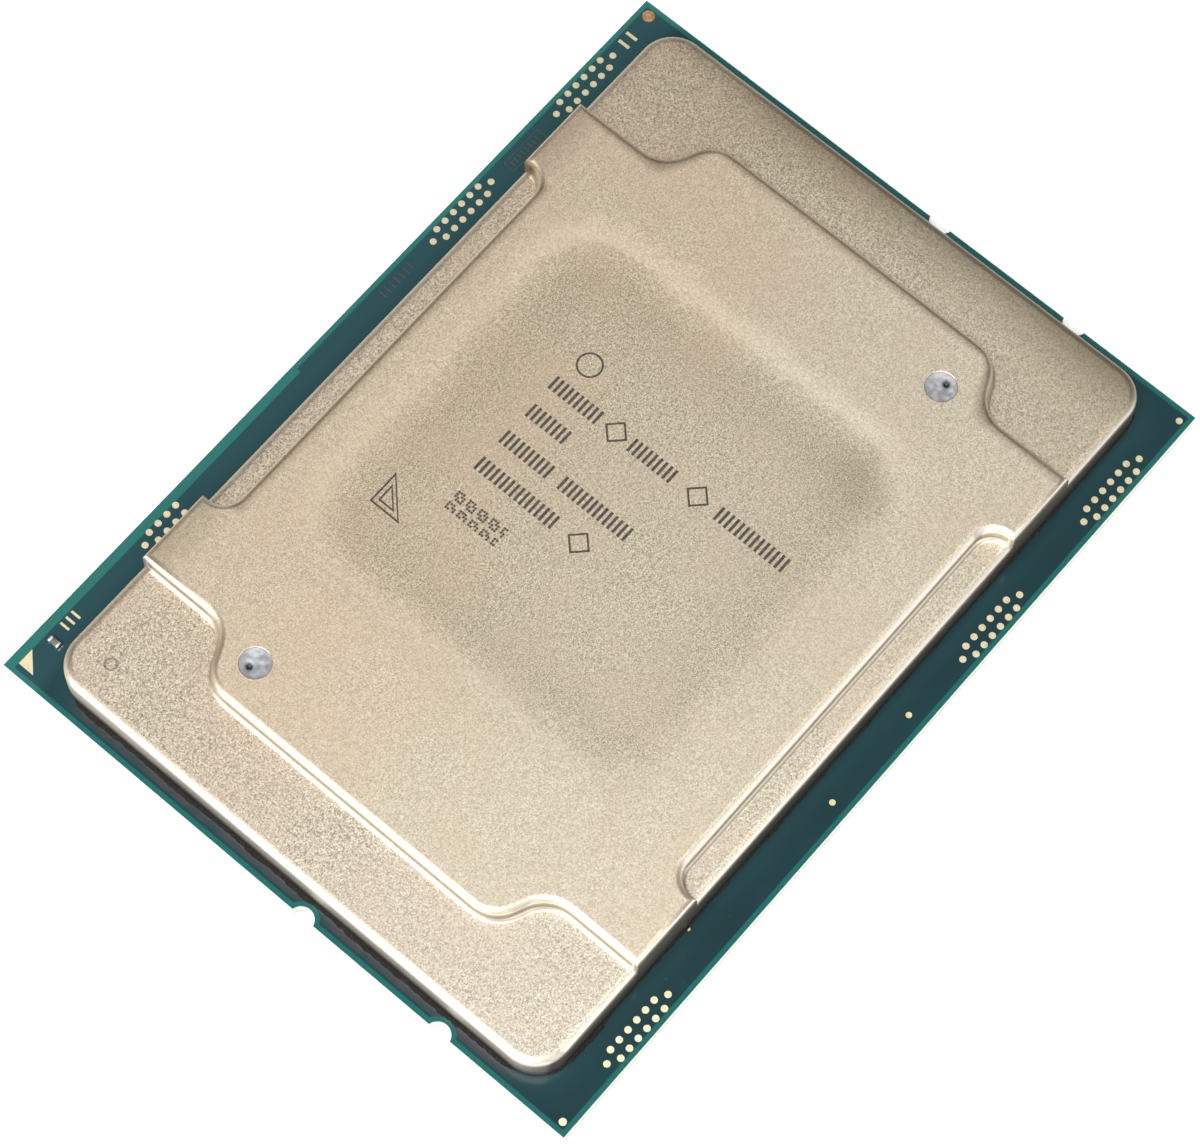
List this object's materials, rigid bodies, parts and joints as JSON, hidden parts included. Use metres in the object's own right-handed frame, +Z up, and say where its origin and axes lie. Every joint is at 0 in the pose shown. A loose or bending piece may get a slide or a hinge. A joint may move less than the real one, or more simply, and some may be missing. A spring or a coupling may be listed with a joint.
{
  "type": "processor package",
  "caption": "Rectangular processor package: green laminate board with a stepped nickel heat spreader on top, notched short edges, gold contact lands and chip capacitors underneath.",
  "frame": {"origin": "centre of the package's outline, level with the lowest capacitor on the underside", "axes": "+X along the board's long side, +Y along its short side towards the pin-one corner's edge, +Z up out of the heat spreader"},
  "size_m": [0.076, 0.0564, 0.0065],
  "materials": {
    "laminate": "cut woven-glass laminate, satin",
    "buildup": "build-up resin, satin",
    "copper": "bare copper foil",
    "solder_mask": "dark teal solder mask, glossy",
    "gold": "thin gold plating, satin",
    "pad_copper": "orange copper finish",
    "nickel": "grainy satin nickel plating on copper",
    "sealant": "dark brown silicone, matt",
    "plug": "grey cured sealant, matt",
    "silicon": "polished silicon",
    "interface_metal": "soft solder metal",
    "underfill": "dark filled epoxy",
    "solder": "tin solder, bright",
    "capacitor_body": "fired ceramic, satin",
    "capacitor_terminal": "tin plating, satin"
  },
  "bodies": {
    "root": {"substrate_core": "laminate", "substrate_buildup_top": "buildup", "substrate_buildup_bottom": "buildup", "copper_plane_top": "copper", "copper_plane_bottom": "copper", "solder_mask_top": "solder_mask", "solder_mask_bottom": "solder_mask", "contact_lands_left": "gold", "contact_lands_right": "gold", "land_capacitor_bodies": "capacitor_body", "land_capacitor_terminals": "capacitor_terminal", "land_capacitor_solder": "solder", "heat_spreader": "nickel", "sealant_bead": "sealant", "vent_plugs": "plug", "silicon_die": "silicon", "thermal_interface": "interface_metal", "underfill": "underfill", "die_bumps": "solder", "die_side_capacitor_bodies": "capacitor_body", "die_side_capacitor_terminals": "capacitor_terminal", "die_side_capacitor_solder": "solder", "test_pads_front_left": "gold", "test_pads_front_centre": "gold", "test_pads_front_right": "gold", "test_pads_rear_left": "gold", "test_pads_rear_centre": "gold", "test_pads_rear_right": "gold", "alignment_dots": "gold", "orientation_dot": "pad_copper", "pin_one_triangle": "gold", "marker_capacitor_body": "capacitor_body", "marker_capacitor_terminals": "capacitor_terminal", "marker_capacitor_solder": "solder"}
  },
  "joints": []
}
